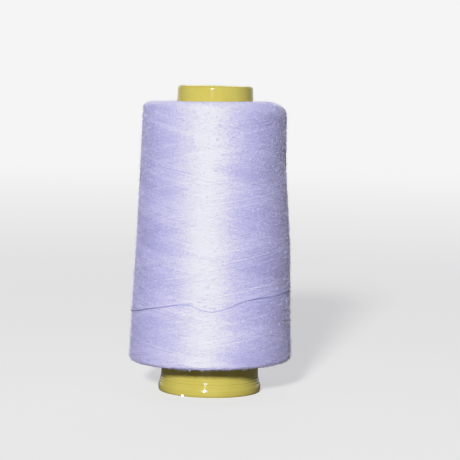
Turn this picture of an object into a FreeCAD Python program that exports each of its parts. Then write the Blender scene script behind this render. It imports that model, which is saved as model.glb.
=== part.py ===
import FreeCAD, Part
import math
import os
import Sketcher

# A spool of sewing thread, in millimetres: a hollow moulded plastic cone, the
# cross-wound package of thread on it, and the slack last turn of that thread.
# +Z runs up through the nose, and z = 0 is the underside of the foot.
# Azimuths are in degrees from the front (-Y), positive towards the right (+X).

dimensions = {
    # moulded cone
    "coneHeight": 170.0,
    "coneNoseWidth": 41.8,  # across the cone's side, carried up to the top
    "coneFootWidth": 54.0,  # across the cone's side where the foot starts
    "coneWall": 1.6,
    "noseWeb": 1.8,  # thickness of the flat ring that closes the nose
    "noseRimRounding": 2.0,
    "boreWidth": 31.0,  # hole in the nose, for a spindle
    "boreDepth": 7.4,  # length of the tubular boss round that hole
    "boreWall": 1.5,
    "boreRounding": 0.6,
    "ribCount": 6,  # ribs between that boss and the cone's wall
    "ribThickness": 1.2,
    # flared foot, from the top down
    "footHeight": 12.5,
    "beadTop": 8.0,
    "beadBottom": 6.5,
    "beadLand": 0.6,
    "beadWidth": 54.8,
    "beadRootWidth": 54.2,
    "upperRidgeTop": 5.5,
    "upperRidgeLand": 0.7,
    "upperRidgeWidth": 55.2,
    "grooveTop": 4.2,  # groove that the end of the thread is pulled into
    "grooveBottom": 3.6,
    "grooveWidth": 54.0,
    "ridgeTop": 3.2,
    "ridgeLand": 1.0,
    "ridgeWidth": 57.0,  # widest place of the foot
    "rimWidth": 56.2,
    "rimBoreWidth": 52.8,
    "rimRounding": 0.5,
    "ridgeRounding": 0.3,
    # small nick in the lower rim
    "nickWidth": 1.7,
    "nickHeight": 1.3,
    "nickAzimuth": -33.0,
    # wound package of thread
    "packageBase": 17.5,
    "packageTop": 161.8,
    "packageBaseWidth": 90.2,  # across its side, carried down to the base
    "packageTopWidth": 79.2,  # across its side, carried up to the top
    "packageLowerRounding": 4.5,
    "packageShoulderRounding": 6.0,
    # thread
    "threadDiameter": 0.4,
}

# The slack turn's route, as azimuth, distance from the axis and height. It
# comes from under the winding at the back on the right, lies across the front
# with a small rise and two dips, goes round the left and is tucked in again
# at the back, lower down.
looseTurnRoute = [
    (152, 43.8, 63.6),
    (141, 44.1, 62.9),
    (124, 44.4, 61.7),
    (106, 44.5, 60.4),
    (87, 44.6, 59.2),
    (70, 44.5, 58.2),
    (53, 44.4, 56.7),
    (39, 44.3, 56.5),
    (28, 44.3, 55.7),
    (19, 44.3, 53.7),
    (11, 44.3, 51.0),
    (2, 44.4, 49.1),
    (-6, 44.4, 50.1),
    (-13, 44.3, 52.3),
    (-20, 44.3, 52.9),
    (-28, 44.4, 51.7),
    (-38, 44.5, 50.1),
    (-50, 44.7, 48.6),
    (-64, 45.0, 46.4),
    (-80, 45.3, 44.8),
    (-98, 45.2, 43.9),
    (-117, 45.2, 43.5),
    (-136, 45.2, 43.6),
    (-155, 45.2, 44.2),
    (-173, 45.0, 45.2),
    (-190, 44.8, 46.5),
    (-201, 44.4, 47.5),
]
arcShare = 0.45  # of the shorter run, taken up by the arc at each point

# Where the cone's straight side stands at the package's two ends.
sideAt = (
    "(Sizes.coneFootWidth - (Sizes.coneFootWidth - Sizes.coneNoseWidth)"
    " * (Sizes.{0} - Sizes.footHeight) / (Sizes.coneHeight - Sizes.footHeight)) / 2"
)

tolerance = 0.001

doc = FreeCAD.newDocument("ThreadSpool")


def makeSheet():
    sheet = doc.addObject("Spreadsheet::Sheet", "Sizes")
    for row, (alias, value) in enumerate(dimensions.items(), start=1):
        sheet.set(f"A{row}", alias)
        sheet.set(f"B{row}", str(value))
        sheet.setAlias(f"B{row}", alias)
    doc.recompute()


def attachedSketch(body, name, role):
    sketch = body.newObject("Sketcher::SketchObject", name)
    plane = [p for p in body.Origin.OriginFeatures if p.Role == role][0]
    sketch.AttachmentSupport = [(plane, "")]
    sketch.MapMode = "FlatFace"
    return sketch


def drawOutline(sketch, corners):
    """Closes straight lines through corners, each a pair of expressions:
    across and up. An up of None lies on the horizontal axis."""
    count = len(corners)
    start = [
        FreeCAD.Vector(50 + 20 * math.cos(a), 50 + 20 * math.sin(a), 0)
        for a in (2 * math.pi * i / count for i in range(count))
    ]
    for i in range(count):
        sketch.addGeometry(Part.LineSegment(start[i], start[(i + 1) % count]))
    for i in range(count):
        sketch.addConstraint(Sketcher.Constraint("Coincident", i, 2, (i + 1) % count, 1))
    for i, (across, up) in enumerate(corners):
        number = sketch.addConstraint(
            Sketcher.Constraint("DistanceX", -1, 1, i, 1, start[i].x)
        )
        sketch.setExpression(f"Constraints[{number}]", across)
        if up is None:
            sketch.addConstraint(Sketcher.Constraint("PointOnObject", i, 1, -1))
            continue
        number = sketch.addConstraint(
            Sketcher.Constraint("DistanceY", -1, 1, i, 1, start[i].y)
        )
        sketch.setExpression(f"Constraints[{number}]", up)


def revolve(body, sketch, name):
    feature = body.newObject("PartDesign::Revolution", name)
    feature.Profile = sketch
    feature.ReferenceAxis = (sketch, ["V_Axis"])
    feature.Angle = 360
    doc.recompute()
    return feature


def roundRings(body, name, rings, size):
    """Rounds the circular edges at the (width, height) pairs of rings."""
    base = body.Tip
    edges = []
    for number, edge in enumerate(base.Shape.Edges, start=1):
        if edge.Curve.TypeId != "Part::GeomCircle":
            continue
        for width, height in rings:
            sameWidth = abs(2 * edge.Curve.Radius - width) < tolerance
            if sameWidth and abs(edge.Curve.Center.z - height) < tolerance:
                edges.append(f"Edge{number}")
    if len(edges) != len(rings):
        raise RuntimeError(f"{name} found {len(edges)} of {len(rings)} edges")
    fillet = body.newObject("PartDesign::Fillet", name)
    fillet.Base = (base, edges)
    fillet.setExpression("Radius", f"Sizes.{size}")
    doc.recompute()


def makeCone():
    body = doc.addObject("PartDesign::Body", "PlasticCone")
    body.Label = "plastic_cone"
    outline = attachedSketch(body, "ConeOutline", "XZ_Plane")
    drawOutline(
        outline,
        [
            # outside, from the rim up over the ridges to the nose
            ("Sizes.rimWidth / 2", None),
            ("Sizes.ridgeWidth / 2", "Sizes.ridgeTop - Sizes.ridgeLand"),
            ("Sizes.ridgeWidth / 2", "Sizes.ridgeTop"),
            ("Sizes.grooveWidth / 2", "Sizes.grooveBottom"),
            ("Sizes.grooveWidth / 2", "Sizes.grooveTop"),
            ("Sizes.upperRidgeWidth / 2", "Sizes.upperRidgeTop - Sizes.upperRidgeLand"),
            ("Sizes.upperRidgeWidth / 2", "Sizes.upperRidgeTop"),
            ("Sizes.beadRootWidth / 2", "Sizes.beadBottom"),
            ("Sizes.beadWidth / 2", "Sizes.beadTop - Sizes.beadLand"),
            ("Sizes.beadWidth / 2", "Sizes.beadTop"),
            ("Sizes.coneFootWidth / 2", "Sizes.footHeight"),
            ("Sizes.coneNoseWidth / 2", "Sizes.coneHeight"),
            # hole in the nose and its boss
            ("Sizes.boreWidth / 2", "Sizes.coneHeight"),
            ("Sizes.boreWidth / 2", "Sizes.coneHeight - Sizes.boreDepth"),
            ("Sizes.boreWidth / 2 + Sizes.boreWall", "Sizes.coneHeight - Sizes.boreDepth"),
            ("Sizes.boreWidth / 2 + Sizes.boreWall", "Sizes.coneHeight - Sizes.noseWeb"),
            # inside, down to the rim
            ("Sizes.coneNoseWidth / 2 - Sizes.coneWall", "Sizes.coneHeight - Sizes.noseWeb"),
            ("Sizes.coneFootWidth / 2 - Sizes.coneWall", "Sizes.footHeight"),
            ("Sizes.rimBoreWidth / 2", None),
        ],
    )
    revolve(body, outline, "ConeShell")

    size = dimensions
    top = size["coneHeight"]
    roundRings(body, "NoseRim", [(size["coneNoseWidth"], top)], "noseRimRounding")
    boreEdges = [
        (size["boreWidth"], top),
        (size["boreWidth"], top - size["boreDepth"]),
    ]
    roundRings(body, "BoreEdges", boreEdges, "boreRounding")
    roundRings(body, "RimEdge", [(size["rimWidth"], 0.0)], "rimRounding")
    ridgeEdges = [
        (size["ridgeWidth"], size["ridgeTop"]),
        (size["ridgeWidth"], size["ridgeTop"] - size["ridgeLand"]),
        (size["upperRidgeWidth"], size["upperRidgeTop"]),
        (size["upperRidgeWidth"], size["upperRidgeTop"] - size["upperRidgeLand"]),
        (size["beadWidth"], size["beadTop"]),
        (size["beadWidth"], size["beadTop"] - size["beadLand"]),
    ]
    roundRings(body, "RidgeEdges", ridgeEdges, "ridgeRounding")

    makeRibs(body)
    cutNick(body)


def makeRibs(body):
    """Ribs under the nose's flat ring, from the boss out into the wall."""
    before = body.Shape.Volume
    sketch = attachedSketch(body, "RibOutline", "XZ_Plane")
    inner = "Sizes.boreWidth / 2 + Sizes.boreWall / 2"
    outer = "Sizes.coneNoseWidth / 2 - Sizes.coneWall / 2"
    low = "Sizes.coneHeight - Sizes.boreDepth + Sizes.boreRounding"
    high = "Sizes.coneHeight - Sizes.noseWeb / 2"
    drawOutline(sketch, [(inner, low), (outer, low), (outer, high), (inner, high)])
    rib = body.newObject("PartDesign::Pad", "Rib")
    rib.Profile = sketch
    rib.Midplane = True
    rib.setExpression("Length", "Sizes.ribThickness")
    doc.recompute()
    ring = body.newObject("PartDesign::PolarPattern", "RibRing")
    ring.Originals = [rib]
    ring.Axis = (sketch, ["V_Axis"])
    ring.Angle = 360
    ring.setExpression("Occurrences", "Sizes.ribCount")
    body.Tip = ring
    doc.recompute()
    print(f"ribs added {body.Shape.Volume - before:.1f} mm3")


def cutNick(body):
    """A small V through the foot's lower rim."""
    before = body.Shape.Volume
    sketch = attachedSketch(body, "NickOutline", "XZ_Plane")
    # unturned, this outline faces the back
    turn = FreeCAD.Rotation(FreeCAD.Vector(0, 1, 0), 180 + dimensions["nickAzimuth"])
    sketch.AttachmentOffset = FreeCAD.Placement(FreeCAD.Vector(), turn)
    drawOutline(
        sketch,
        [
            ("-Sizes.nickWidth / 2", None),
            ("Sizes.nickWidth / 2", None),
            ("0", "Sizes.nickHeight"),
        ],
    )
    nick = body.newObject("PartDesign::Pocket", "Nick")
    nick.Profile = sketch
    nick.Type = "ThroughAll"
    doc.recompute()
    print(f"nick took {before - body.Shape.Volume:.2f} mm3")


def makePackage():
    body = doc.addObject("PartDesign::Body", "ThreadPackage")
    body.Label = "thread_package"
    outline = attachedSketch(body, "PackageOutline", "XZ_Plane")
    drawOutline(
        outline,
        [
            (sideAt.format("packageBase"), "Sizes.packageBase"),
            ("Sizes.packageBaseWidth / 2", "Sizes.packageBase"),
            ("Sizes.packageTopWidth / 2", "Sizes.packageTop"),
            (sideAt.format("packageTop"), "Sizes.packageTop"),
        ],
    )
    revolve(body, outline, "WoundThread")
    size = dimensions
    lower = [(size["packageBaseWidth"], size["packageBase"])]
    roundRings(body, "LowerEdge", lower, "packageLowerRounding")
    upper = [(size["packageTopWidth"], size["packageTop"])]
    roundRings(body, "Shoulder", upper, "packageShoulderRounding")


def routePoints():
    points = []
    for azimuth, out, up in looseTurnRoute:
        angle = math.radians(azimuth)
        points.append(FreeCAD.Vector(out * math.sin(angle), -out * math.cos(angle), up))
    return points


def tubePath(points):
    """Straight runs joined by tangent arcs, and the arcs' radii."""
    edges = []
    radii = []
    last = points[0]
    for before, corner, after in zip(points, points[1:], points[2:]):
        back = before - corner
        onward = after - corner
        reach = arcShare * min(back.Length, onward.Length)
        turn = math.pi - back.getAngle(onward)
        radii.append(reach / math.tan(turn / 2))
        arcStart = corner + back.normalize() * reach
        arcEnd = corner + onward.normalize() * reach
        toMiddle = (arcStart + arcEnd) * 0.5 - corner
        inside = radii[-1] / math.cos(turn / 2) - radii[-1]
        arcMiddle = corner + toMiddle.normalize() * inside
        edges.append(Part.LineSegment(last, arcStart).toShape())
        edges.append(Part.Arc(arcStart, arcMiddle, arcEnd).toShape())
        last = arcEnd
    edges.append(Part.LineSegment(last, points[-1]).toShape())
    return Part.Wire(edges), radii


def makeLooseTurn():
    points = routePoints()
    path, radii = tubePath(points)
    direction = points[1] - points[0]
    section = Part.Circle(points[0], direction, dimensions["threadDiameter"] / 2)
    tube = path.makePipeShell([Part.Wire(section.toShape())], True, False)
    feature = doc.addObject("Part::Feature", "LooseOuterTurn")
    feature.Label = "loose_outer_turn"
    feature.Shape = tube
    area = math.pi * dimensions["threadDiameter"] ** 2 / 4
    expected = area * path.Length
    print(f"loose turn is {path.Length:.1f} mm long, radii", [round(r, 1) for r in radii])
    print(f"its volume is {tube.Volume:.3f} mm3, section times length {expected:.3f}")
    if abs(tube.Volume / expected - 1) > 0.01:
        raise RuntimeError("the loose turn's volume is wrong")


def checkDocument(parts):
    for item in doc.Objects:
        if "Invalid" in item.State or "Error" in item.State:
            raise RuntimeError(f"{item.Name} failed: {item.State}")
    for part in parts:
        if part.Shape.isNull() or not part.Shape.isValid():
            raise RuntimeError(f"{part.Label} has no valid shape")


makeSheet()
makeCone()
makePackage()
makeLooseTurn()
doc.recompute()

parts = [
    doc.getObject(name) for name in ("PlasticCone", "ThreadPackage", "LooseOuterTurn")
]
checkDocument(parts)
os.makedirs("parts", exist_ok=True)
for part in parts:
    part.Shape.exportStep(f"parts/{part.Label}.step")
    box = part.Shape.optimalBoundingBox(False)
    print(
        f"{part.Label}: {box.XLength:.2f} x {box.YLength:.2f} x {box.ZLength:.2f},"
        f" {part.Shape.Volume:.0f} mm3"
    )
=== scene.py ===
import math
import random

import bpy
import numpy as np
from mathutils import Matrix, Vector


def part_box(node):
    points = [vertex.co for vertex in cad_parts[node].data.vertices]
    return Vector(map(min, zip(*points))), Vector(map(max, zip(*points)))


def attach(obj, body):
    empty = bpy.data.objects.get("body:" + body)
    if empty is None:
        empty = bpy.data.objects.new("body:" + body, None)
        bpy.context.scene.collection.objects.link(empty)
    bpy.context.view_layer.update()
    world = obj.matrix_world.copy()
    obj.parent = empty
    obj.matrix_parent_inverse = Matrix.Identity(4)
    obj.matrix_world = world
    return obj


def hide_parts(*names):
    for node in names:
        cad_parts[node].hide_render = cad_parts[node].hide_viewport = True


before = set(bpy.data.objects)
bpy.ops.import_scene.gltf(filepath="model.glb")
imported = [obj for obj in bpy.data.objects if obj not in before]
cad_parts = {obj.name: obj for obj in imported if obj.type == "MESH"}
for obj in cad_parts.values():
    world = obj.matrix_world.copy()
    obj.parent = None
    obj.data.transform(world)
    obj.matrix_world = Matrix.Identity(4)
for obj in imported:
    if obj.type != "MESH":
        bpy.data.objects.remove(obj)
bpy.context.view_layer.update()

mm = 0.001
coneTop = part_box("plastic_cone")[1].z / mm
packageLow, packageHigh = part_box("thread_package")
bodyName = "root"  # the spool has no joints, so all of it is one body
print("frame loaded")


def linearColour(hexColour, alpha=1.0):
    # sRGB hex to the linear values that nodes and lights take
    parts = [int(hexColour[i:i + 2], 16) / 255 for i in (0, 2, 4)]
    linear = [c / 12.92 if c <= 0.04045 else ((c + 0.055) / 1.055) ** 2.4 for c in parts]
    return (*linear, alpha)


def addNode(tree, kind, values=None, links=None, **settings):
    node = tree.nodes.new(kind)
    for name, value in settings.items():
        setattr(node, name, value)
    for socket, value in (values or {}).items():
        node.inputs[socket].default_value = value
    for socket, source in (links or {}).items():
        tree.links.new(source, node.inputs[socket])
    return node


def newMaterial(name):
    material = bpy.data.materials.new(name)
    material.use_nodes = True
    tree = material.node_tree
    tree.nodes.clear()
    return material, tree


camera = {
    "distance": 1.082,  # metres in front of the spool's axis
    "sideways": 0.00968,
    "height": 0.180,
    "pitch": 4.759,  # degrees down
    "roll": 1.25,  # degrees, clockwise as seen
    "lens": 152.8,  # millimetres
}


def addCamera():
    bpy.ops.object.camera_add()
    cameraObject = bpy.context.object
    cameraObject.name = "camera"
    cameraObject.data.lens = camera["lens"]
    cameraObject.data.sensor_width = 36
    cameraObject.data.clip_start = 0.05
    cameraObject.location = (camera["sideways"], -camera["distance"], camera["height"])
    pitch = Matrix.Rotation(math.radians(90 - camera["pitch"]), 3, "X")
    roll = Matrix.Rotation(math.radians(camera["roll"]), 3, "Z")
    cameraObject.rotation_euler = (pitch @ roll).to_euler()
    bpy.context.scene.camera = cameraObject


addCamera()
print("camera placed")


threadLook = {
    # shades of the dyed fibre, from painted shade for the gaps between strands to painted highlight on
    # single pale hairs
    "shades": [(0.0, "8280BC"), (0.44, "A19FDD"), (0.5, "B5B3F0"), (0.56, "C9C7F9"), (1.0, "E2E1FB")],
    "roughness": 0.52,
    "ior": 2.2,  # above polyester's 1.57, for the many facing fibres in one strand
    "specular": 0.8,
    "hairGleam": 1.0,  # a coat, for the gleam of the hairs that stand off the strand
    "hairRoughness": 0.68,
    "hairIor": 2.6,
    "slackPaintedShade": 0.12,  # painted shade: the slack turn's shades are darkened to stand in for the shadow it casts on the winding and its own shaded underside
    "slubShare": 0.85,  # of the mottling, the rest being the slow drift in shade
    "strandShare": 0.2,  # of the shade that is each strand's own
}


def spunPolyester(name, depth=0.0):
    # Spun polyester sewing thread: short dyed fibres twisted together, which gives a
    # broad soft gleam where strands face the light and a mottled, slightly hairy shade.
    # depth, 0 to 1, darkens every shade.
    material, tree = newMaterial(name)
    place = addNode(tree, "ShaderNodeTexCoord")
    patches = addNode(
        tree, "ShaderNodeTexNoise", {"Scale": 55, "Detail": 3, "Roughness": 0.6},  # drifts over 18 mm
        {"Vector": place.outputs["Object"]},
    )
    slubs = addNode(
        tree, "ShaderNodeTexNoise",
        {"Scale": 1300, "Detail": 2, "Roughness": 0.8},  # slubs and knots of fibre, 0.8 mm
        {"Vector": place.outputs["Object"]},
    )
    tone = addNode(tree, "ShaderNodeAttribute", attribute_name="tone")  # one value per strand; pieces without it read 0 and take deeper shades, which paints shade on the core in the gaps and on the loose turn
    blend = addNode(
        tree, "ShaderNodeMix", {"Factor": threadLook["slubShare"]},
        {"A": patches.outputs["Fac"], "B": slubs.outputs["Fac"]},
    )
    mixed = addNode(
        tree, "ShaderNodeMix", {"Factor": threadLook["strandShare"]},
        {"A": blend.outputs["Result"], "B": tone.outputs["Fac"]},
    )
    shade = addNode(tree, "ShaderNodeValToRGB", None, {"Fac": mixed.outputs["Result"]})
    ramp = shade.color_ramp
    ramp.elements.remove(ramp.elements[0])
    ramp.elements[0].position = threadLook["shades"][-1][0]
    for position, _ in threadLook["shades"][:-1]:
        ramp.elements.new(position)
    for stop, (_, hexColour) in zip(ramp.elements, threadLook["shades"]):
        stop.color = [c * (1 - depth) for c in linearColour(hexColour)[:3]] + [1]
    shader = addNode(
        tree, "ShaderNodeBsdfPrincipled",
        {
            "Roughness": threadLook["roughness"], "IOR": threadLook["ior"],
            "Specular IOR Level": threadLook["specular"],
            "Coat Weight": threadLook["hairGleam"], "Coat Roughness": threadLook["hairRoughness"],
            "Coat IOR": threadLook["hairIor"],
        },
        {"Base Color": shade.outputs["Color"]},
    )
    addNode(tree, "ShaderNodeOutputMaterial", None, {"Surface": shader.outputs["BSDF"]})
    return material


plasticLook = {
    "colour": "BEB25A",
    "deepColour": "B9AC51",
    "polished": 0.08,  # roughness
    "scuffed": 0.15,
    "orangePeel": 0.06,
}


def mouldedPolypropylene():
    # Injection-moulded polypropylene, dyed mustard yellow in the mass: a polished
    # tool leaves it glossy, with faint flow marks and light scuffs from handling.
    material, tree = newMaterial("moulded_polypropylene")
    place = addNode(tree, "ShaderNodeTexCoord")
    flow = addNode(
        tree, "ShaderNodeTexNoise", {"Scale": 70, "Detail": 3, "Roughness": 0.5},  # 14 mm flow marks
        {"Vector": place.outputs["Object"]},
    )
    shade = addNode(tree, "ShaderNodeValToRGB", None, {"Fac": flow.outputs["Fac"]})
    deep, plain = shade.color_ramp.elements
    deep.position = 0.35
    deep.color = linearColour(plasticLook["deepColour"])
    plain.position = 0.65
    plain.color = linearColour(plasticLook["colour"])
    scuffs = addNode(
        tree, "ShaderNodeTexNoise", {"Scale": 450, "Detail": 4, "Roughness": 0.7},  # 2 mm scuffs
        {"Vector": place.outputs["Object"]},
    )
    wear = addNode(
        tree, "ShaderNodeMapRange",
        {
            "From Min": 0.5, "From Max": 0.75,
            "To Min": plasticLook["polished"], "To Max": plasticLook["scuffed"],
        },
        {"Value": scuffs.outputs["Fac"]},
    )
    grain = addNode(
        tree, "ShaderNodeTexNoise", {"Scale": 1600, "Detail": 2},  # 0.6 mm orange peel
        {"Vector": place.outputs["Object"]},
    )
    bump = addNode(
        tree, "ShaderNodeBump", {"Strength": plasticLook["orangePeel"], "Distance": 0.0001},
        {"Height": grain.outputs["Fac"]},
    )
    shader = addNode(
        tree, "ShaderNodeBsdfPrincipled", {"IOR": 1.49},
        {
            "Base Color": shade.outputs["Color"], "Roughness": wear.outputs["Result"],
            "Normal": bump.outputs["Normal"],
        },
    )
    addNode(tree, "ShaderNodeOutputMaterial", None, {"Surface": shader.outputs["BSDF"]})
    return material


threadMaterial = spunPolyester("spun_polyester")
# the slack turn's material darkens every shade: painted shade for its shadow and shaded underside
slackShadedMaterial = spunPolyester("spun_polyester_slack_painted_shade", threadLook["slackPaintedShade"])
plasticMaterial = mouldedPolypropylene()
print("materials made")


looseTurn = {  # the slack last turn of thread, in metres
    "diameter": 0.0004,
    "length": 0.276,
    # azimuth in degrees from the front towards the right, distance from the axis, height
    "route": [
        (152, 0.0438, 0.0636),
        (141, 0.0441, 0.0629),
        (124, 0.0444, 0.0617),
        (106, 0.0445, 0.0604),
        (87, 0.0446, 0.0592),
        (70, 0.0445, 0.0582),
        (53, 0.0444, 0.0567),
        (39, 0.0443, 0.0565),
        (28, 0.0443, 0.0557),
        (19, 0.0443, 0.0537),
        (11, 0.0443, 0.0510),
        (2, 0.0444, 0.0491),
        (-6, 0.0444, 0.0501),
        (-13, 0.0443, 0.0523),
        (-20, 0.0443, 0.0529),
        (-28, 0.0444, 0.0517),
        (-38, 0.0445, 0.0501),
        (-50, 0.0447, 0.0486),
        (-64, 0.0450, 0.0464),
        (-80, 0.0453, 0.0448),
        (-98, 0.0452, 0.0439),
        (-117, 0.0452, 0.0435),
        (-136, 0.0452, 0.0436),
        (-155, 0.0452, 0.0442),
        (-173, 0.0450, 0.0452),
        (-190, 0.0448, 0.0465),
        (-201, 0.0444, 0.0475),
    ],
}


def makeLooseTurn():
    curve = bpy.data.curves.new("loose_turn", "CURVE")
    curve.dimensions = "3D"
    curve.bevel_depth = looseTurn["diameter"] / 2
    curve.bevel_resolution = 3
    curve.use_fill_caps = True
    spline = curve.splines.new("NURBS")
    spline.points.add(len(looseTurn["route"]) - 1)
    for point, (azimuth, out, up) in zip(spline.points, looseTurn["route"]):
        angle = math.radians(azimuth)
        point.co = (out * math.sin(angle), -out * math.cos(angle), up, 1)
    spline.order_u = 3
    spline.use_endpoint_u = True
    spline.resolution_u = 12
    turn = bpy.data.objects.new("loose_turn", curve)
    bpy.context.collection.objects.link(turn)
    # painted shade: the darkened slack material, and with no tone it also takes the deeper shades
    curve.materials.append(slackShadedMaterial)
    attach(turn, bodyName)
    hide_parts("loose_outer_turn")


makeLooseTurn()
print("loose turn laid")


package = {  # the wound thread's outline, in millimetres
    "base": packageLow.z / mm,
    "top": packageHigh.z / mm,
    "baseRadius": packageHigh.x / mm + 0.17,  # of the side, carried down to the base
    "topRadius": 39.6,
    "lowerRounding": 2.6,
    "shoulderWidth": 9.0,
    "shoulderWidthSwing": 2.5,  # the shoulder has slumped more on the right
    "shoulderHeight": 5.0,
    "shoulderHeightSwing": 2.0,
    "baseTilt": 0.8,  # the lower edge rises to the right by this, each side of the middle
    "topTilt": 0.4,
    "topDrop": 0.5,  # leaves room under the top for the tilt and the fibres
    "coneClearance": 0.25,  # between the cone and the middle of the strands next to it
    # swellings: azimuth, height, spread in height, spread round the side in degrees, size
    "swellings": [
        (90, 126, 22, 45, -0.9),
        (90, 78, 20, 45, 0.5),
        (-90, 88, 30, 50, -0.4),
        (170, 60, 25, 40, 0.3),
        (215, 120, 25, 40, -0.3),
    ],
    "coneFootRadius": 27.0,
    "coneNoseRadius": 20.9,
    "footHeight": 12.5,
}
sideLength = package["top"] - package["base"] - package["lowerRounding"] - package["shoulderHeight"]
lowerArc = math.pi / 2 * package["lowerRounding"]
shoulderArc = math.pi / 2 * (package["shoulderWidth"] + package["shoulderHeight"]) / 2


def coneRadius(height):
    # of the plastic cone's outside, in millimetres
    share = (height - package["footHeight"]) / (coneTop - package["footHeight"])
    return package["coneFootRadius"] + share * (package["coneNoseRadius"] - package["coneFootRadius"])


def onPackage(azimuth, along, lift):
    # Points at azimuth (radians) and along (mm up the package's outline, 0 where the
    # lower rounding meets the side), lifted off the surface by lift (mm); in metres.
    right = np.sin(azimuth)
    width = package["shoulderWidth"] + package["shoulderWidthSwing"] * right
    height = package["shoulderHeight"] + package["shoulderHeightSwing"] * right
    lowest = package["base"] + package["baseTilt"] * right
    highest = package["top"] + package["topTilt"] * right - package["topDrop"]
    rounding = package["lowerRounding"]
    low = np.clip(-along / lowerArc, 0, 1) * math.pi / 2
    high = np.clip((along - sideLength) / shoulderArc, 0, 1) * math.pi / 2
    beyondLow = np.clip(-along - lowerArc, 0, None)
    beyondHigh = np.clip(along - sideLength - shoulderArc, 0, None)
    side = np.clip(along / sideLength, 0, 1)
    sideLow = lowest + rounding
    sideHigh = highest - height
    z = sideLow + side * (sideHigh - sideLow)
    share = (z - package["base"]) / (package["top"] - package["base"])
    radius = package["baseRadius"] + share * (package["topRadius"] - package["baseRadius"])
    for where, level, tall, wide, size in package["swellings"]:
        turn = np.angle(np.exp(1j * (azimuth - math.radians(where))))
        radius = radius + size * np.exp(-((z - level) / tall) ** 2 - (turn / math.radians(wide)) ** 2)
    radius = radius - rounding * (1 - np.cos(low)) - width * (1 - np.cos(high))
    radius = radius - beyondLow - beyondHigh  # past its roundings the outline runs flat inwards
    z = z - rounding * np.sin(low) + height * np.sin(high)
    radius = radius + lift * np.cos(low) * np.cos(high)
    z = z + lift * (np.sin(high) - np.sin(low))
    radius = np.maximum(radius, coneRadius(z) + package["coneClearance"])
    return np.stack([radius * np.sin(azimuth), -radius * np.cos(azimuth), z], axis=-1) * mm


def makeStrands(name, paths, tones, thickness, resolution=1):
    # One tube along each path, with its tone and its place on the package stored on it;
    # six-sided, or four-sided at resolution 0.
    curve = bpy.data.curves.new(name, "CURVE")
    curve.dimensions = "3D"
    curve.bevel_depth = thickness * mm / 2
    curve.bevel_resolution = resolution
    curve.use_fill_caps = False
    for path in paths:
        spline = curve.splines.new("POLY")
        spline.points.add(len(path) - 1)
        spline.points.foreach_set("co", np.column_stack([path, np.ones(len(path))]).ravel())
    strands = bpy.data.objects.new(name, curve)
    bpy.context.collection.objects.link(strands)
    bpy.ops.object.select_all(action="DESELECT")
    strands.select_set(True)
    bpy.context.view_layer.objects.active = strands
    bpy.ops.object.convert(target="MESH")
    mesh = strands.data
    ring = len(mesh.vertices) // sum(len(path) for path in paths)
    perVertex = np.concatenate([np.full(len(p) * ring, t) for p, t in zip(paths, tones)])
    tone = mesh.attributes.new("tone", "FLOAT", "POINT")
    tone.data.foreach_set("value", perVertex.astype(np.float32))
    mapOntoPackage(mesh)
    bpy.ops.object.shade_smooth()
    mesh.materials.clear()
    mesh.materials.append(threadMaterial)
    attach(strands, bodyName)


def mapOntoPackage(mesh):
    # u once round the package, v from the middle of its lower end up to the middle of its top
    places = np.empty(len(mesh.vertices) * 3)
    mesh.vertices.foreach_get("co", places)
    x, y, z = places.reshape(-1, 3).T / mm
    out = np.hypot(x, y)
    u = np.arctan2(x, -y) / (2 * math.pi) + 0.5
    middle = (package["base"] + package["top"]) / 2
    widest = package["baseRadius"]
    faceShare = 0.2  # of the map's height, for each end
    taper = 0.02  # what the package's taper adds to inward halfway up
    inward = 1.8 * faceShare * np.clip((widest - out) / widest, 0, 1)
    v = faceShare + (1 - 2 * faceShare) * (z - package["base"]) / (package["top"] - package["base"])
    v = v + np.where(z > middle, inward - taper, -inward)
    corner = np.empty(len(mesh.loops), dtype=np.int32)
    mesh.loops.foreach_get("vertex_index", corner)
    uv = np.column_stack([u[corner], v[corner]])
    start = np.empty(len(mesh.polygons), dtype=np.int32)
    count = np.empty(len(mesh.polygons), dtype=np.int32)
    mesh.polygons.foreach_get("loop_start", start)
    mesh.polygons.foreach_get("loop_total", count)
    highest = np.maximum.reduceat(uv[:, 0], start)
    face = np.repeat(np.arange(len(start)), count)
    uv[:, 0] += (highest[face] - uv[:, 0] > 0.5)  # faces that cross the seam go past 1
    layer = mesh.uv_layers.new(name="OFBake")
    layer.uv.foreach_set("vector", uv.astype(np.float32).ravel())


winding = {  # millimetres, unless a note says otherwise
    "passes": 300,  # up or down the package, that are still seen
    "pieces": 5,
    "turns": 3.073,  # round the package in one pass, so strands rise at 10 degrees
    "thickness": 0.34,  # the real thread is 0.3 with its hairs, drawn a little coarser
    "stepDegrees": 5.6,
    "easing": 0.045,  # share of a pass over which it turns back at each end
    "depth": 0.07,  # over which the passes lie on each other
    "sag": 0.02,
    "patchHeight": 24,  # rising and falling passes take turns on top
    "otherPatchHeight": 33,
    "patchDepth": 0.035,
    "topTurn": (0.35, 0.92),  # how far up the shoulder a pass turns back
    "baseTurn": (0.4, 0.98),  # and how far down the lower rounding
    "coreDepth": 0.16,
    "strayDive": 0.35,  # both ends of a stray strand dive under the others by this
    # strands that lie on top: azimuth and height where each is first and last seen, lift, tone; pale tones
    # paint highlight on strands lying proud, and the deep ones (-1.5) paint shadow lines for dark grooves
    "strays": [
        (-78, 97, 88, 118, 0.14, 1.6),
        (-60, 48, 92, 69.8, 0.12, 2),
        (18, 61, 92, 65.8, 0.06, 2),
        (-72, 110.4, 12, 122, 0.04, 1.6),
        (-80, 128.6, -8, 122.4, 0.06, -1.5),
        (-78, 31.4, -20, 26, 0.06, -1.5),
        (100, 99, 260, 120, 0.08, 2),
        (280, 80, 130, 100, 0.08, 2),
    ],
}


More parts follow.
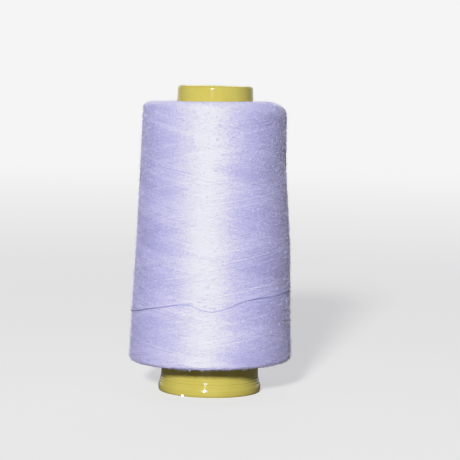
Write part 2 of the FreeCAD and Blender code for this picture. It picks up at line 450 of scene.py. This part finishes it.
def easedPass(q):
    # 0 to 1 at a steady rate, slowing to a stop at both ends, where the thread turns back
    easing = winding["easing"]
    slope = 1 / (1 - easing)
    early = slope * q ** 2 / (2 * easing)
    late = 1 - slope * (1 - q) ** 2 / (2 * easing)
    steady = slope * (q - easing / 2)
    return np.where(q < easing, early, np.where(q > 1 - easing, late, steady))


def windPackage():
    draw = random.Random(11)
    steps = int(winding["turns"] * 360 / winding["stepDegrees"])
    q = np.linspace(0, 1, steps + 1)
    azimuth = 0.0
    low = -lowerArc * 0.7  # where the first pass starts
    high = sideLength
    paths = []
    tones = []
    for number in range(winding["passes"]):
        falling = number % 2 == 1
        turnBack = sideLength + shoulderArc * draw.uniform(*winding["topTurn"])  # rising passes use it
        if falling:
            low = -lowerArc * draw.uniform(*winding["baseTurn"])
            start, end = high, low
        else:
            high = turnBack
            start, end = low, high
        angles = azimuth + q * (winding["turns"] + draw.uniform(-0.02, 0.02)) * 2 * math.pi
        along = start + (end - start) * easedPass(q)
        lift = -winding["thickness"] / 2 - winding["depth"] * draw.random()
        over = np.sin(along * 2 * math.pi / winding["patchHeight"] + 2 * angles)
        over = over + 0.7 * np.sin(along * 2 * math.pi / winding["otherPatchHeight"] - 2 * angles + 1)
        lift = lift + winding["patchDepth"] * over * (1 if falling else -1)
        for _ in range(3):  # slow waves, so that no two strands lie quite alike
            sag = winding["sag"] * draw.random()
            waves = draw.uniform(2, 9)
            lift = lift + sag * np.sin(waves * angles + draw.uniform(0, 6.3))
        paths.append(onPackage(angles, along, lift))
        heading = 0.7 - azimuth if falling else azimuth
        # passes that start near each other have nearly the same tone, which makes soft bands: painted sheen
        # and shade for the lighter and darker bands that strands of different heading reflect
        bands = math.sin(2 * heading) + 0.8 * math.sin(5 * heading + 1) + 0.6 * math.sin(9 * heading + 2)
        tones.append(0.5 + 0.16 * bands + draw.uniform(-0.12, 0.12))
        azimuth = angles[-1]
    each = -(-len(paths) // winding["pieces"])
    for piece in range(winding["pieces"]):
        part = slice(piece * each, (piece + 1) * each)
        makeStrands(f"thread_wraps_{piece + 1}", paths[part], tones[part], winding["thickness"])


def layStrays():
    paths = []
    tones = []
    for start, startHeight, end, endHeight, lift, tone in winding["strays"]:
        q = np.linspace(0, 1, 40)
        dive = winding["strayDive"] * np.abs(2 * q - 1) ** 8  # only near the ends
        angles = np.radians(start + (end - start) * q)
        heights = startHeight + (endHeight - startHeight) * q
        along = heights - package["base"] - package["lowerRounding"]
        paths.append(onPackage(angles, along, lift - winding["thickness"] / 2 - dive))
        tones.append(tone)
    makeStrands("thread_strays", paths, tones, winding["thickness"])


windPackage()
layStrays()
print("package wound")


def makeCore():
    # the thread underneath, which shows in the gaps; rows are places along the outline
    rows = np.concatenate([
        np.linspace(-lowerArc - 15, -lowerArc, 8)[:-1],
        np.linspace(-lowerArc, 0, 8)[:-1],
        np.linspace(0, sideLength, 60)[:-1],
        np.linspace(sideLength, sideLength + shoulderArc, 12)[:-1],
        np.linspace(sideLength + shoulderArc, sideLength + shoulderArc + 11, 6),
    ])
    bpy.ops.object.select_all(action="DESELECT")
    bpy.ops.mesh.primitive_circle_add(vertices=128, radius=0.03)
    core = bpy.context.object
    core.name = "thread_core"
    bpy.ops.object.mode_set(mode="EDIT")
    bpy.ops.mesh.select_all(action="SELECT")
    for _ in rows[1:]:  # rings a millimetre apart, so that each can be told by its height
        bpy.ops.mesh.extrude_region_move(TRANSFORM_OT_translate={"value": (0, 0, mm)})
    bpy.ops.object.mode_set(mode="OBJECT")
    mesh = core.data
    places = np.array([v.co[:] for v in mesh.vertices])
    ringOf = np.rint((places[:, 2] - places[:, 2].min()) / mm).astype(int)
    azimuth = np.arctan2(places[:, 0], -places[:, 1])
    shaped = onPackage(azimuth, rows[ringOf], np.full(len(places), -winding["coreDepth"]))
    mesh.vertices.foreach_set("co", shaped.ravel())
    mesh.update()
    bpy.ops.object.mode_set(mode="EDIT")
    bpy.ops.mesh.select_all(action="SELECT")
    bpy.ops.mesh.normals_make_consistent(inside=False)
    bpy.ops.object.mode_set(mode="OBJECT")
    bpy.ops.object.shade_smooth()
    # the core has no tone, so it takes deeper shades: painted shade in the gaps between strands
    mesh.materials.append(threadMaterial)
    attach(core, bodyName)
    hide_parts("thread_package")


makeCore()
print("core made")


endFaces = {  # the ends of the package, covered with arcs where passes turn back
    "arcs": 330,  # on each
    "arcDegrees": (70, 150),
    "topReach": 19,  # millimetres from the shoulder in towards the cone
    "baseReach": 17,
    "slant": 1.6,  # how far an arc's ends lie apart
    "bow": (0.3, 1.6),  # and how far both lie back from its middle
}


def windEnds():
    draw = random.Random(23)
    for name, start, direction, reach in (  # the arcs start partway round the roundings
        ("thread_top_end", sideLength + shoulderArc * 0.75, 1, endFaces["topReach"]),
        ("thread_bottom_end", -lowerArc * 0.75, -1, endFaces["baseReach"]),
    ):
        paths = []
        tones = []
        for number in range(endFaces["arcs"]):
            middle = start + direction * reach * (number + draw.random()) / endFaces["arcs"]
            turn = math.radians(draw.uniform(*endFaces["arcDegrees"]))
            count = max(6, int(math.degrees(turn) / 6))
            q = np.linspace(-1, 1, count)
            angles = draw.uniform(0, 2 * math.pi) + q * turn / 2
            slant = draw.uniform(-endFaces["slant"], endFaces["slant"])
            along = middle + slant * q - direction * draw.uniform(*endFaces["bow"]) * q ** 2
            lift = -winding["thickness"] / 2 - winding["depth"] * draw.random() + np.zeros(count)
            paths.append(onPackage(angles, along, lift))
            tones.append(draw.random())
        makeStrands(name, paths, tones, winding["thickness"])


windEnds()
print("ends wound")


fuzz = {  # loose fibres, in millimetres
    "pieces": 2,
    "count": 7500,  # in each piece
    "thickness": 0.1,  # real ones are 0.02, too fine to show
    "shortest": 0.4,
    "longest": 2.4,
    "rise": (0.05, 0.7),  # slope at which they leave the surface
    # tones above 1 reach the palest shade: painted highlight for the light the loose fibres catch
    "tones": (0.5, 3),
    "root": -0.05,
    "whiskers": 6500,  # longer ones that stand up more, also in each piece
    "whiskerThickness": 0.11,
    "whiskerShortest": 0.8,
    "whiskerLongest": 2.6,
    "whiskerRise": (0.3, 1.1),
    # painted highlight again: whiskers paler than the fibre for the light they catch
    "whiskerTones": (0.3, 2),
}


def curledFibre(draw, angle, start, length, rise):
    # four points: it sets off in any direction, curls to one side and bends over at its tip
    q = np.linspace(0, 1, 4)
    sweep = draw.uniform(0, 2 * math.pi) + draw.uniform(-1.2, 1.2) * q
    across = np.cumsum(np.cos(sweep)) / 4 * length
    up = np.cumsum(np.sin(sweep)) / 4 * length
    lift = fuzz["root"] + rise * length * (q - 0.35 * q ** 2)
    return onPackage(angle + across / package["topRadius"], start + up, lift)


def addFuzz():
    draw = random.Random(37)
    reach = fuzz["longest"] - fuzz["shortest"]
    for piece in range(fuzz["pieces"]):
        paths = []
        tones = []
        for _ in range(fuzz["count"]):
            length = fuzz["shortest"] + reach * draw.random() ** 3  # most are short
            angle = draw.uniform(0, 2 * math.pi)
            start = draw.uniform(-lowerArc, sideLength + shoulderArc)
            paths.append(curledFibre(draw, angle, start, length, draw.uniform(*fuzz["rise"])))
            tones.append(draw.uniform(*fuzz["tones"]))
        makeStrands(f"thread_fuzz_{piece + 1}", paths, tones, fuzz["thickness"], resolution=0)


def addWhiskers():
    draw = random.Random(41)
    reach = fuzz["whiskerLongest"] - fuzz["whiskerShortest"]
    for piece in range(fuzz["pieces"]):
        paths = []
        tones = []
        for _ in range(fuzz["whiskers"]):
            length = fuzz["whiskerShortest"] + reach * draw.random() ** 2
            angle = draw.uniform(0, 2 * math.pi)
            start = draw.uniform(-lowerArc, sideLength)
            paths.append(curledFibre(draw, angle, start, length, draw.uniform(*fuzz["whiskerRise"])))
            tones.append(draw.uniform(*fuzz["whiskerTones"]))
        name = f"thread_whiskers_{piece + 1}"
        makeStrands(name, paths, tones, fuzz["whiskerThickness"], resolution=0)


addFuzz()
addWhiskers()
print("fibres added")


cone = {  # millimetres; corners as radius, height, rounding
    "outside": [
        (28.1, 0, 0.5),
        (28.5, 1.2, 0.8),
        (28.5, 3.3, 0.4),
        (28.2, 4.3, 0.3),
        (27.8, 5.1, 0.3),
        (27.75, 5.9, 0.4),
        (27.3, 6.6, 0.4),
        (27.5, 7.2, 0.25),
        (27.15, 7.8, 0.3),
        (27.1, 9.4, 0.1),
        (27.03, 9.6, 0.1),
        (27.0, 12.5, 2.0),
        (20.9, 170, 2.0),
    ],
    "inside": [
        (15.5, 170, 0.6),
        (15.5, 162.6, 0.6),
        (17.0, 162.6, 0.3),
        (17.0, 168.2, 0.5),
        (19.3, 168.2, 0.5),
        (25.4, 12.5, 2.0),
        (26.4, 0, 0.4),
    ],
    "around": 192,
    "smoothDegrees": 50,
    "ribs": 6,  # between the boss in the nose and the wall
    "ribThickness": 1.2,
    "ribInner": 16.6,
    "ribOuter": 19.8,
    "ribLow": 163.0,
    "ribHigh": 168.6,
    "nickAzimuth": -31.5,  # degrees from the front towards the right
    "nickDepth": 0.45,
    "nickHeight": 1.2,
    "nickCutter": 4.0,
    "nickTurn": 27.5,  # degrees that its flat is turned from the rim, and tilted up
    "nickTilt": 15,
}


def roundedOutline(corners, steps=5):
    # the outline's points, with each corner turned into an arc
    rows = []
    count = len(corners)
    for i, (radius, height, rounding) in enumerate(corners):
        corner = Vector((radius, height))
        back = Vector(corners[i - 1][:2]) - corner
        onward = Vector(corners[(i + 1) % count][:2]) - corner
        half = back.angle(onward) / 2
        reach = min(rounding / math.tan(half), 0.45 * back.length, 0.45 * onward.length)
        size = reach * math.tan(half)
        centre = corner + (back.normalized() + onward.normalized()).normalized() * (size / math.sin(half))
        first = corner + back.normalized() * reach - centre
        last = corner + onward.normalized() * reach - centre
        for step in range(steps + 1):
            direction = (first * (steps - step) + last * step).normalized()
            rows.append(centre + direction * size)
    return rows


def cutNick(body):
    # a chip out of the bottom rim, with one flat side
    azimuth = math.radians(cone["nickAzimuth"])
    outward = Vector((math.sin(azimuth), -math.cos(azimuth), 0))
    along = Vector((math.cos(azimuth), math.sin(azimuth), 0))
    turn = math.radians(cone["nickTurn"])
    tilt = math.radians(cone["nickTilt"])
    flat = outward * math.cos(turn) + along * math.sin(turn)
    side = along * math.cos(turn) - outward * math.sin(turn)
    facing = flat * math.cos(tilt) + Vector((0, 0, math.sin(tilt)))
    upward = facing.cross(side)
    apex = outward * (cone["outside"][1][0] - cone["nickDepth"]) + Vector((0, 0, cone["nickHeight"]))
    size = cone["nickCutter"]
    centre = apex + facing * size / 2 - upward * size / math.sqrt(2)
    bpy.ops.object.select_all(action="DESELECT")
    bpy.ops.mesh.primitive_cube_add(size=size * mm)
    cutter = bpy.context.object
    axes = Matrix((facing, (side + upward).normalized(), (upward - side).normalized())).transposed()
    cutter.matrix_world = Matrix.Translation(centre * mm) @ axes.to_4x4()
    bpy.ops.object.select_all(action="DESELECT")
    body.select_set(True)
    bpy.context.view_layer.objects.active = body
    cut = body.modifiers.new("nick", "BOOLEAN")
    cut.operation = "DIFFERENCE"
    cut.object = cutter
    cut.solver = "EXACT"
    bpy.ops.object.modifier_apply(modifier="nick")
    bpy.data.objects.remove(cutter)


def addRibs(body):
    # one is made and the others are copied round; all reach into the boss and the wall
    bpy.ops.object.select_all(action="DESELECT")
    middle = ((cone["ribInner"] + cone["ribOuter"]) / 2, 0, (cone["ribLow"] + cone["ribHigh"]) / 2)
    bpy.ops.mesh.primitive_cube_add(size=mm, location=Vector(middle) * mm)
    turn = 2 * math.pi / cone["ribs"]
    bpy.ops.object.mode_set(mode="EDIT")
    bpy.ops.mesh.select_all(action="SELECT")
    bpy.ops.transform.resize(
        value=(cone["ribOuter"] - cone["ribInner"], cone["ribThickness"], cone["ribHigh"] - cone["ribLow"]),
        center_override=Vector(middle) * mm,
    )
    for _ in range(1, cone["ribs"]):
        bpy.ops.mesh.duplicate()  # leaves only the copy selected
        bpy.ops.transform.rotate(value=turn, orient_axis="Z", center_override=(0, 0, 0))
    bpy.ops.object.mode_set(mode="OBJECT")
    body.select_set(True)  # beside the ribs, which still are
    bpy.context.view_layer.objects.active = body
    bpy.ops.object.join()


def makeCone():
    rows = roundedOutline(cone["outside"] + cone["inside"])
    bpy.ops.object.select_all(action="DESELECT")
    bpy.ops.mesh.primitive_circle_add(
        vertices=cone["around"], radius=rows[0].x * mm, location=(0, 0, rows[0].y * mm)
    )
    body = bpy.context.object
    body.name = "moulded_cone"
    bpy.ops.object.transform_apply(location=True, rotation=True, scale=True)
    bpy.ops.object.mode_set(mode="EDIT")
    bpy.ops.mesh.select_all(action="SELECT")
    for last, row in zip(rows, rows[1:] + rows[:1]):
        bpy.ops.mesh.extrude_region_move(TRANSFORM_OT_translate={"value": (0, 0, (row.y - last.y) * mm)})
        size = row.x / last.x
        bpy.ops.transform.resize(value=(size, size, 1), center_override=(0, 0, row.y * mm))
    bpy.ops.mesh.select_all(action="SELECT")
    bpy.ops.mesh.remove_doubles(threshold=1e-6)
    bpy.ops.mesh.normals_make_consistent(inside=False)
    bpy.ops.object.mode_set(mode="OBJECT")
    bpy.ops.object.shade_smooth_by_angle(angle=math.radians(cone["smoothDegrees"]))
    body.data.materials.append(plasticMaterial)
    cutNick(body)
    addRibs(body)
    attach(body, bodyName)
    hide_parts("plastic_cone")


makeCone()
print("cone made")


studio = {  # metres, degrees and watts
    "floorColour": "F2F2F0",
    "floorBounce": "938A7C",  # what the floor throws back on the spool is dimmer than it looks
    "floorSize": 12.0,
    "backdropColour": "F7F7F9",
    "backdropStrength": 1.45,
    "fadeNear": 0.35,  # how far the floor is the backdrop's colour already under the spool
    "fadeFrom": 0.3,  # and it turns into it between these distances
    "fadeTo": 2.6,
    "worldColour": "F4F5F8",
    "worldFront": 0.12,
    "worldBack": 1.1,
    "worldTurn": (0.5, 0.95),  # from the side of the room to nearly straight behind
    "keyAzimuth": -9.5,
    "keyElevation": 20,
    "keyDistance": 3.2,
    "keySize": 0.38,
    "keyPower": 126,
    "backAzimuth": 180,
    "backElevation": 42,
    "backDistance": 1.8,
    "backSize": 1.2,
    "backPower": 14,
    "aimHeight": 0.08,
    "toneCurve": [(0.3, 0.3), (0.55, 0.55), (0.8, 0.765), (1, 0.835)],
}


def addFloor():
    # painted board, plain and pale, that turns into the backdrop without an edge
    bpy.ops.object.select_all(action="DESELECT")
    bpy.ops.mesh.primitive_circle_add(vertices=96, radius=studio["floorSize"], fill_type="NGON")
    floor = bpy.context.object
    floor.name = "floor"
    material, tree = newMaterial("pale_floor")
    ray = addNode(tree, "ShaderNodeLightPath")
    place = addNode(tree, "ShaderNodeTexCoord")
    away = addNode(
        tree, "ShaderNodeVectorMath", None, {"Vector": place.outputs["Object"]}, operation="LENGTH",
    )
    fade = addNode(
        tree, "ShaderNodeMapRange",
        {"From Min": studio["fadeFrom"], "From Max": studio["fadeTo"], "To Min": studio["fadeNear"]},
        {"Value": away.outputs["Value"]}, interpolation_type="SMOOTHSTEP",
    )
    colour = addNode(
        tree, "ShaderNodeMix", None, {"Factor": ray.outputs["Is Camera Ray"]}, data_type="RGBA",
    )
    colour.inputs[6].default_value = linearColour(studio["floorBounce"])  # A and B of a colour mix
    colour.inputs[7].default_value = linearColour(studio["floorColour"])
    near = addNode(
        tree, "ShaderNodeBsdfPrincipled", {"Roughness": 0.7, "Specular IOR Level": 0.1},
        {"Base Color": colour.outputs[2]},
    )
    glow = addNode(
        tree, "ShaderNodeMapRange",
        {"To Min": studio["worldFront"], "To Max": studio["backdropStrength"]},
        {"Value": ray.outputs["Is Camera Ray"]},
    )
    far = addNode(
        tree, "ShaderNodeEmission", {"Color": linearColour(studio["backdropColour"])},
        {"Strength": glow.outputs["Result"]},
    )
    blend = addNode(tree, "ShaderNodeMixShader", None, {"Fac": fade.outputs["Result"]})
    tree.links.new(near.outputs["BSDF"], blend.inputs[1])
    tree.links.new(far.outputs["Emission"], blend.inputs[2])
    addNode(tree, "ShaderNodeOutputMaterial", None, {"Surface": blend.outputs["Shader"]})
    floor.data.materials.append(material)


def addLight(name, azimuth, elevation, distance, size, power):
    side = math.radians(azimuth)
    up = math.radians(elevation)
    away = Vector((math.sin(side) * math.cos(up), -math.cos(side) * math.cos(up), math.sin(up)))
    target = Vector((0, 0, studio["aimHeight"]))
    bpy.ops.object.light_add(type="AREA", location=target + away * distance)
    light = bpy.context.object
    light.name = name
    light.rotation_euler = away.to_track_quat("Z", "Y").to_euler()
    light.data.shape = "DISK"
    light.data.size = size
    light.data.energy = power
    return light


def keepOffFloor(light):
    # from behind, this light would lay a second shadow on the floor
    lit = bpy.data.collections.new("all_but_floor")
    lit.objects.link(bpy.data.objects["floor"])
    lit.collection_objects[0].light_linking.link_state = "EXCLUDE"
    light.light_linking.receiver_collection = lit


def addToneCurve():
    # a camera's soft shoulder, so the brightest parts pale instead of clipping
    view = bpy.context.scene.view_settings
    view.view_transform = "Standard"
    view.use_curve_mapping = True
    mapping = view.curve_mapping
    curve = mapping.curves[3]  # the one for all three colours
    for point in studio["toneCurve"][:-1]:
        curve.points.new(*point)
    curve.points[-1].location = studio["toneCurve"][-1]
    mapping.update()


def addWorld():
    # a dim room in front with a pale backdrop behind, and the same pale backdrop to look at
    world = bpy.data.worlds.new("pale_room")
    world.use_nodes = True
    tree = world.node_tree
    tree.nodes.clear()
    place = addNode(tree, "ShaderNodeTexCoord")
    axes = addNode(tree, "ShaderNodeSeparateXYZ", None, {"Vector": place.outputs["Generated"]})
    level = addNode(
        tree, "ShaderNodeMapRange",
        {
            "From Min": studio["worldTurn"][0], "From Max": studio["worldTurn"][1],
            "To Min": studio["worldFront"], "To Max": studio["worldBack"],
        },
        {"Value": axes.outputs["Y"]}, interpolation_type="SMOOTHSTEP",
    )
    room = addNode(
        tree, "ShaderNodeBackground", {"Color": linearColour(studio["worldColour"])},
        {"Strength": level.outputs["Result"]},
    )
    backdrop = addNode(
        tree, "ShaderNodeBackground",
        {"Color": linearColour(studio["backdropColour"]), "Strength": studio["backdropStrength"]},
    )
    ray = addNode(tree, "ShaderNodeLightPath")
    seen = addNode(tree, "ShaderNodeMixShader", None, {"Fac": ray.outputs["Is Camera Ray"]})
    tree.links.new(room.outputs["Background"], seen.inputs[1])
    tree.links.new(backdrop.outputs["Background"], seen.inputs[2])
    addNode(tree, "ShaderNodeOutputWorld", None, {"Surface": seen.outputs["Shader"]})
    bpy.context.scene.world = world
    addToneCurve()


addFloor()
addLight(
    "key", studio["keyAzimuth"], studio["keyElevation"], studio["keyDistance"],
    studio["keySize"], studio["keyPower"],
)
keepOffFloor(addLight(
    "back", studio["backAzimuth"], studio["backElevation"], studio["backDistance"],
    studio["backSize"], studio["backPower"],
))
addWorld()
print("studio lit")
